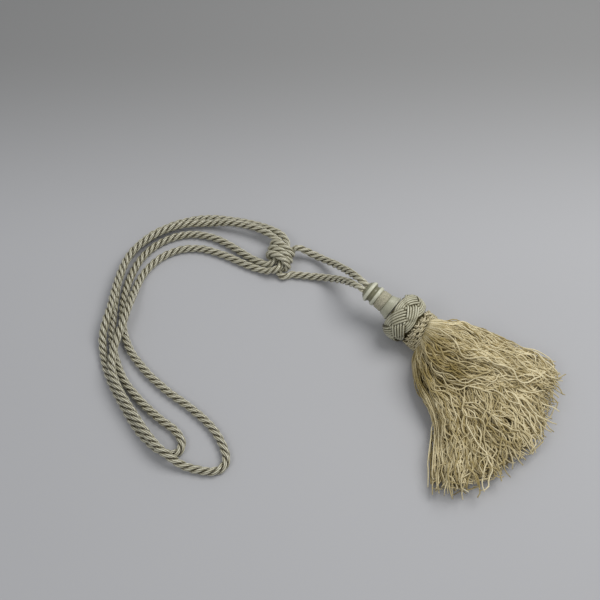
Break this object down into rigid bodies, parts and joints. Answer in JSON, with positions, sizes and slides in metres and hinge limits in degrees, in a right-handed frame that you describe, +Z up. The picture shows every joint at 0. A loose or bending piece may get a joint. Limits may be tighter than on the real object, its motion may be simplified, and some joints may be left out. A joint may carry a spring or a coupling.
{
  "type": "curtain tieback tassel",
  "caption": "Curtain tieback: a twisted cord ring doubled through a wrapped knot, with a braided-head tassel and a long yarn skirt, lying on a surface.",
  "frame": {"origin": "centre of the bottom of the box round the tassel's head and skirt, on the surface it lies on; the two cords are left out of that box", "axes": "+Z up from the surface; the head points along +X and -Y, 36 degrees from +X, its skirt bends round to 52 degrees, and the cord ring lies on the -X side"},
  "size_m": [0.4467, 0.3295, 0.0474],
  "materials": {
    "cord": "satin",
    "satin": "satin",
    "ribbed": "matte",
    "braid": "satin",
    "yarn": "matte"
  },
  "bodies": {
    "root": {"main_cord": "cord", "hanger_cord": "cord", "head_cap": "satin", "head_barrel": "ribbed", "head_collar": "satin", "head_knob": "braid", "ruff": "braid", "skirt": "yarn"}
  },
  "joints": []
}
